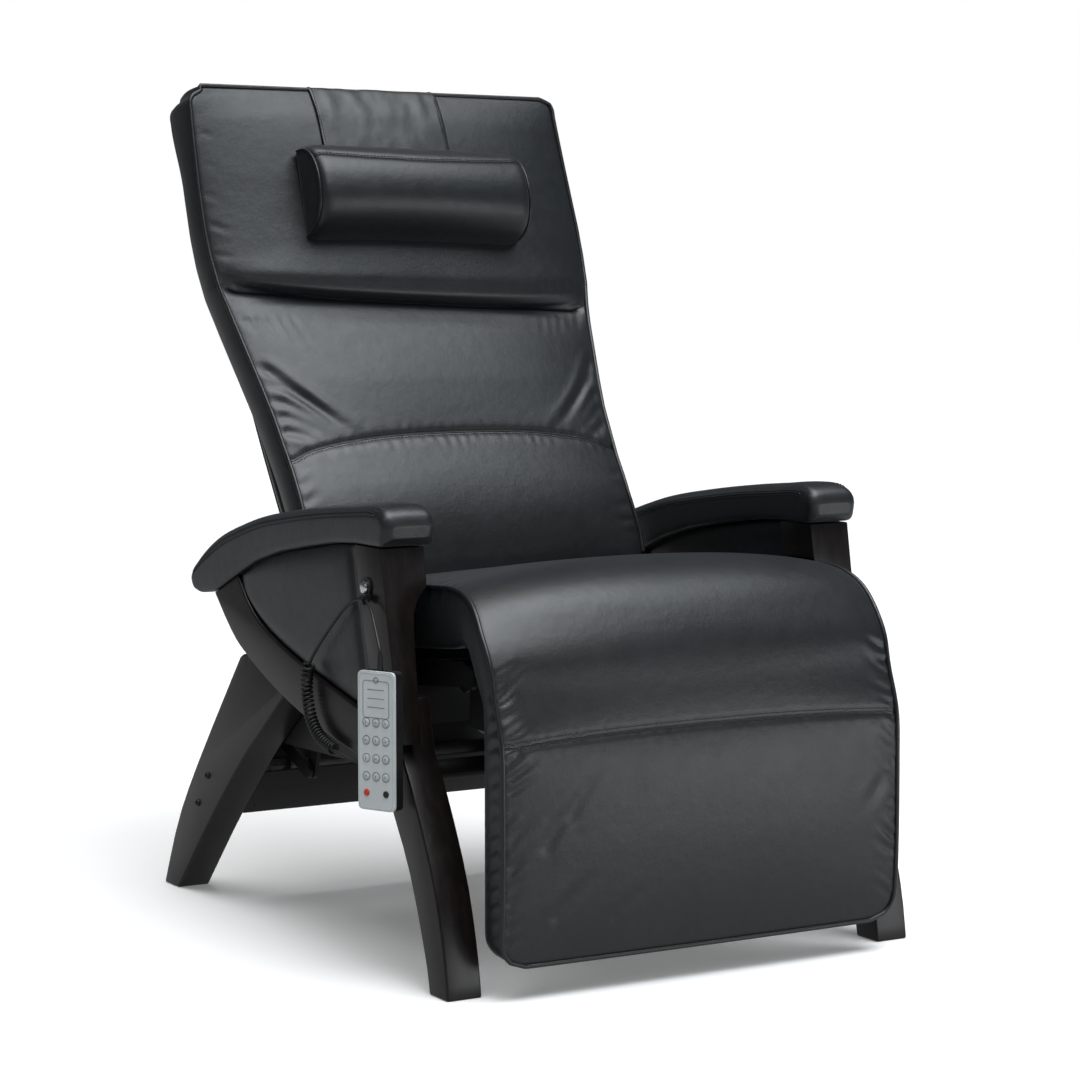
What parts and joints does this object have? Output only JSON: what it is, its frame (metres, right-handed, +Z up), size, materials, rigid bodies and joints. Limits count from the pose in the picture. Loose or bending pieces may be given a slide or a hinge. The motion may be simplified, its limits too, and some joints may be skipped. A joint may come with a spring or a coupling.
{
  "type": "zero gravity recliner",
  "caption": "Upholstered zero gravity recliner with curved timber arm frames, a tilting seat, a reclining back, a lifting legrest, electric actuators and a corded handset.",
  "frame": {"origin": "on the floor, at the middle of the footprint of everything but the handset's cord", "axes": "+Z is up, the longest extent; +X is lateral, the shortest extent, and points to the sitter's left; the sitter faces -Y"},
  "size_m": [0.7623, 0.9733, 1.1534],
  "materials": {
    "dark_wood": "satin espresso stain and lacquer",
    "upholstery": "soft semi-gloss, fine grain",
    "black_steel": "black powder coat",
    "bright_steel": "polished",
    "lined_board": "board lined in matt black cloth",
    "black_plastic": "matte",
    "black_rubber": "matte",
    "silver_plastic": "satin silver paint",
    "grey_keys": "matte",
    "red_key": "satin"
  },
  "bodies": {
    "base": {"front_leg_right": "dark_wood", "rear_leg_right": "dark_wood", "arm_rail_right": "dark_wood", "arm_post_right": "dark_wood", "arm_side_panel_right": "upholstery", "arm_pad_right": "upholstery", "pivot_bracket_right": "black_steel", "front_leg_left": "dark_wood", "rear_leg_left": "dark_wood", "arm_rail_left": "dark_wood", "arm_post_left": "dark_wood", "arm_side_panel_left": "upholstery", "arm_pad_left": "upholstery", "pivot_bracket_left": "black_steel", "rear_cross_board": "dark_wood", "rear_crossbar": "black_steel", "front_crossbar": "black_steel", "control_box": "black_plastic", "cord_gland": "black_rubber", "handset_cord_tail": "black_rubber", "handset_cord_coil": "black_rubber", "handset_cord_lead": "black_rubber", "cord_tab": "black_rubber", "snap_stud": "bright_steel", "handset_front": "silver_plastic", "handset_back": "black_plastic", "cord_relief": "black_rubber"},
    "seat": {"seat_frame": "black_steel", "seat_pivot_shaft": "bright_steel", "seat_deck": "lined_board", "seat_cushion": "upholstery", "knee_roll": "upholstery"},
    "back": {"back_cushion": "upholstery", "back_panel": "upholstery", "back_frame": "black_steel", "pillow_strap": "upholstery"},
    "legrest": {"legrest_cushion": "upholstery", "legrest_board": "lined_board", "legrest_frame": "black_steel"},
    "pillow": {"head_pillow": "upholstery"},
    "back_links": {"back_link_right": "black_steel", "back_link_left": "black_steel"},
    "tilt_actuator": {"tilt_actuator_housing": "black_plastic"},
    "tilt_rod": {"tilt_actuator_rod": "bright_steel"},
    "legrest_actuator": {"legrest_actuator_housing": "black_plastic"},
    "legrest_rod": {"legrest_actuator_rod": "bright_steel"},
    "key_01": {"handset_key_01": "grey_keys"},
    "key_02": {"handset_key_02": "grey_keys"},
    "key_03": {"handset_key_03": "grey_keys"},
    "key_04": {"handset_key_04": "grey_keys"},
    "key_05": {"handset_key_05": "grey_keys"},
    "key_06": {"handset_key_06": "grey_keys"},
    "key_07": {"handset_key_07": "grey_keys"},
    "key_08": {"handset_key_08": "grey_keys"},
    "key_09": {"handset_key_09": "grey_keys"},
    "key_10": {"handset_key_10": "grey_keys"},
    "key_11": {"handset_key_11": "grey_keys"},
    "key_12": {"handset_key_12": "grey_keys"},
    "key_red": {"handset_key_red": "red_key"},
    "key_black": {"handset_key_black": "black_plastic"}
  },
  "joints": [
    {"name": "seat_tilt", "type": "hinge", "parent": "base", "child": "seat", "pos_m": [0.0195, -0.142, 0.368], "axis": [-1, 0, 0], "range_deg": [0, 15]},
    {"name": "back_recline", "type": "hinge", "parent": "seat", "child": "back", "pos_m": [0.0195, 0.113, 0.36], "axis": [-1, 0, 0], "range_deg": [0, 30]},
    {"name": "legrest_lift", "type": "hinge", "parent": "seat", "child": "legrest", "pos_m": [0.0195, -0.357, 0.385], "axis": [-1, 0, 0], "range_deg": [0, 70], "deforming": ["knee_roll"]},
    {"name": "pillow_slide", "type": "slide", "parent": "back", "child": "pillow", "axis": [0, 0.2521, 0.9677], "range_m": [-0.05, 0.03]},
    {"name": "back_link_swing", "type": "hinge", "parent": "base", "child": "back_links", "pos_m": [0.0195, 0.1369, 0.1954], "axis": [1, 0, 0], "range_deg": [0, 45.5]},
    {"name": "tilt_actuator_swing", "type": "hinge", "parent": "base", "child": "tilt_actuator", "pos_m": [0.0895, 0.176, 0.24], "axis": [-1, 0, 0], "range_deg": [0, 0.4]},
    {"name": "tilt_rod_stroke", "type": "slide", "parent": "tilt_actuator", "child": "tilt_rod", "axis": [0, -0.9984, 0.0565], "range_m": [0, 0.029]},
    {"name": "legrest_actuator_swing", "type": "hinge", "parent": "seat", "child": "legrest_actuator", "pos_m": [-0.0505, -0.004, 0.32], "axis": [-1, 0, 0], "range_deg": [0, 5.85]},
    {"name": "legrest_rod_stroke", "type": "slide", "parent": "legrest_actuator", "child": "legrest_rod", "axis": [0, -0.9999, -0.0144], "range_m": [0, 0.0707]},
    {"name": "key_01_press", "type": "slide", "parent": "base", "child": "key_01", "axis": [0.9063, 0.4226, 0], "range_m": [0, 0.0008], "stiffness_N_per_m": 300},
    {"name": "key_02_press", "type": "slide", "parent": "base", "child": "key_02", "axis": [0.9063, 0.4226, 0], "range_m": [0, 0.0008], "stiffness_N_per_m": 300},
    {"name": "key_03_press", "type": "slide", "parent": "base", "child": "key_03", "axis": [0.9063, 0.4226, 0], "range_m": [0, 0.0008], "stiffness_N_per_m": 300},
    {"name": "key_04_press", "type": "slide", "parent": "base", "child": "key_04", "axis": [0.9063, 0.4226, 0], "range_m": [0, 0.0008], "stiffness_N_per_m": 300},
    {"name": "key_05_press", "type": "slide", "parent": "base", "child": "key_05", "axis": [0.9063, 0.4226, 0], "range_m": [0, 0.0008], "stiffness_N_per_m": 300},
    {"name": "key_06_press", "type": "slide", "parent": "base", "child": "key_06", "axis": [0.9063, 0.4226, 0], "range_m": [0, 0.0008], "stiffness_N_per_m": 300},
    {"name": "key_07_press", "type": "slide", "parent": "base", "child": "key_07", "axis": [0.9063, 0.4226, 0], "range_m": [0, 0.0008], "stiffness_N_per_m": 300},
    {"name": "key_08_press", "type": "slide", "parent": "base", "child": "key_08", "axis": [0.9063, 0.4226, 0], "range_m": [0, 0.0008], "stiffness_N_per_m": 300},
    {"name": "key_09_press", "type": "slide", "parent": "base", "child": "key_09", "axis": [0.9063, 0.4226, 0], "range_m": [0, 0.0008], "stiffness_N_per_m": 300},
    {"name": "key_10_press", "type": "slide", "parent": "base", "child": "key_10", "axis": [0.9063, 0.4226, 0], "range_m": [0, 0.0008], "stiffness_N_per_m": 300},
    {"name": "key_11_press", "type": "slide", "parent": "base", "child": "key_11", "axis": [0.9063, 0.4226, 0], "range_m": [0, 0.0008], "stiffness_N_per_m": 300},
    {"name": "key_12_press", "type": "slide", "parent": "base", "child": "key_12", "axis": [0.9063, 0.4226, 0], "range_m": [0, 0.0008], "stiffness_N_per_m": 300},
    {"name": "key_red_press", "type": "slide", "parent": "base", "child": "key_red", "axis": [0.9063, 0.4226, 0], "range_m": [0, 0.0008], "stiffness_N_per_m": 300},
    {"name": "key_black_press", "type": "slide", "parent": "base", "child": "key_black", "axis": [0.9063, 0.4226, 0], "range_m": [0, 0.0008], "stiffness_N_per_m": 300}
  ],
  "couplings": [
    {"joint": "back_recline", "follows": "seat_tilt", "ratio": 2},
    {"joint": "back_link_swing", "follows": "seat_tilt", "ratio": 3.028},
    {"joint": "tilt_actuator_swing", "follows": "seat_tilt", "ratio": 0.0235},
    {"joint": "tilt_rod_stroke", "follows": "seat_tilt", "m_per_rad": 0.1094},
    {"joint": "legrest_actuator_swing", "follows": "legrest_lift", "ratio": 0.083},
    {"joint": "legrest_rod_stroke", "follows": "legrest_lift", "m_per_rad": 0.0578}
  ]
}
